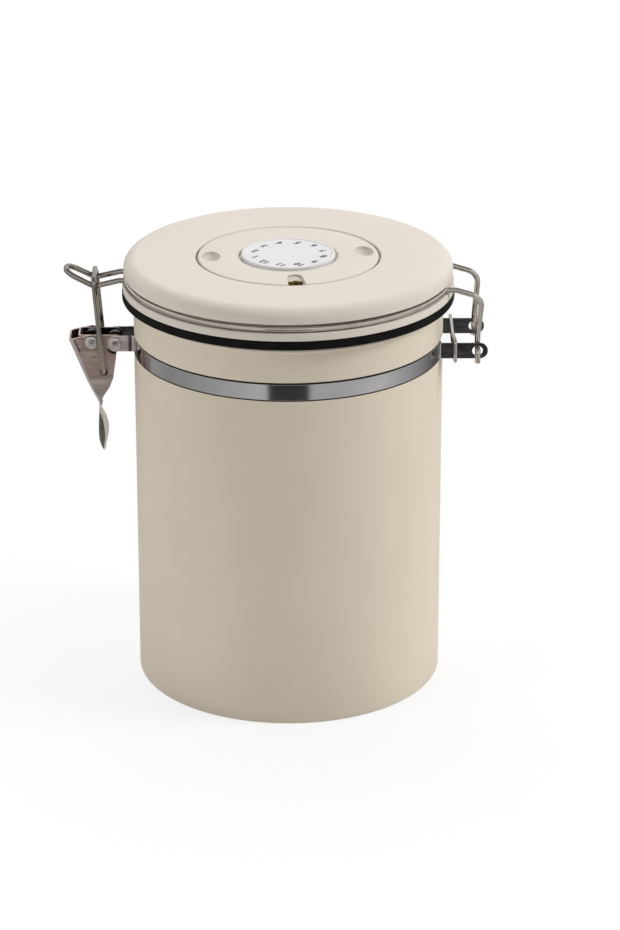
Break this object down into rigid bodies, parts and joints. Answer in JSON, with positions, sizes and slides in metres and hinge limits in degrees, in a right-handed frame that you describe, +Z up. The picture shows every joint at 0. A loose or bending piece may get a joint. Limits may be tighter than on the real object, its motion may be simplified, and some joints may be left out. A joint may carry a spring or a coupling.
{
  "type": "storage canister",
  "caption": "Cylindrical storage canister with a wire bail lid, a toggle latch on its band, a sealing ring, and a one-way valve under a twist cover with a date dial.",
  "frame": {"origin": "centre of the base, on the table", "axes": "+Z up along the canister's axis, -X towards the latch, +X towards the hinge, -Y towards the front"},
  "size_m": [0.1662, 0.1308, 0.1755],
  "materials": {
    "cream_paint": "matte powder coat, cream",
    "lid_plastic": "fine matte, warm cream",
    "band_steel": "satin",
    "latch_steel": "polished, warm grey",
    "wire_steel": "bright drawn wire",
    "screw_steel": "plain",
    "seal_rubber": "smooth black",
    "dial_plastic": "satin white",
    "filter_felt": "felt"
  },
  "bodies": {
    "canister": {"canister_body": "cream_paint", "strap_front": "band_steel", "strap_rear": "band_steel", "hinge_ring": "wire_steel", "latch_bracket": "latch_steel", "bracket_rivet_front": "latch_steel", "bracket_rivet_rear": "latch_steel", "lever_rivet_front": "latch_steel", "lever_rivet_rear": "latch_steel"},
    "lid": {"lid_shell": "lid_plastic", "lid_liner": "lid_plastic", "lid_gasket": "seal_rubber", "lid_bail": "wire_steel", "liner_screw_1": "screw_steel", "liner_screw_2": "screw_steel", "liner_screw_3": "screw_steel", "liner_screw_4": "screw_steel", "filter_disc": "filter_felt", "filter_retainer": "lid_plastic"},
    "cover": {"valve_cover": "lid_plastic"},
    "dial": {"date_dial": "dial_plastic", "dial_screw": "screw_steel"},
    "flap": {"valve_flap": "seal_rubber"},
    "lever": {"latch_lever": "latch_steel"},
    "link": {"latch_link": "wire_steel"}
  },
  "joints": [
    {"name": "lid_open", "type": "hinge", "parent": "canister", "child": "lid", "pos_m": [0.0741, 0, 0.1405], "axis": [0, 1, 0], "range_deg": [0, 215]},
    {"name": "latch_lever_turn", "type": "hinge", "parent": "canister", "child": "lever", "pos_m": [-0.0776, 0, 0.1404], "axis": [0, 1, 0], "range_deg": [0, 120]},
    {"name": "latch_link_turn", "type": "hinge", "parent": "lever", "child": "link", "pos_m": [-0.073, 0, 0.1284], "axis": [0, 1, 0], "range_deg": [-80, 0]},
    {"name": "valve_cover_turn", "type": "hinge", "parent": "lid", "child": "cover", "pos_m": [0, 0, 0.1749], "axis": [0, 0, 1], "range_deg": [0, 45]},
    {"name": "date_dial_turn", "type": "hinge", "parent": "cover", "child": "dial", "pos_m": [0, 0, 0.1755], "axis": [0, 0, 1], "continuous": true},
    {"name": "valve_flap_lift", "type": "slide", "parent": "lid", "child": "flap", "axis": [0, 0, 1], "range_m": [0, 0.0008]}
  ],
  "couplings": [
    {"joint": "latch_link_turn", "follows": "latch_lever_turn", "ratio": -0.66}
  ]
}
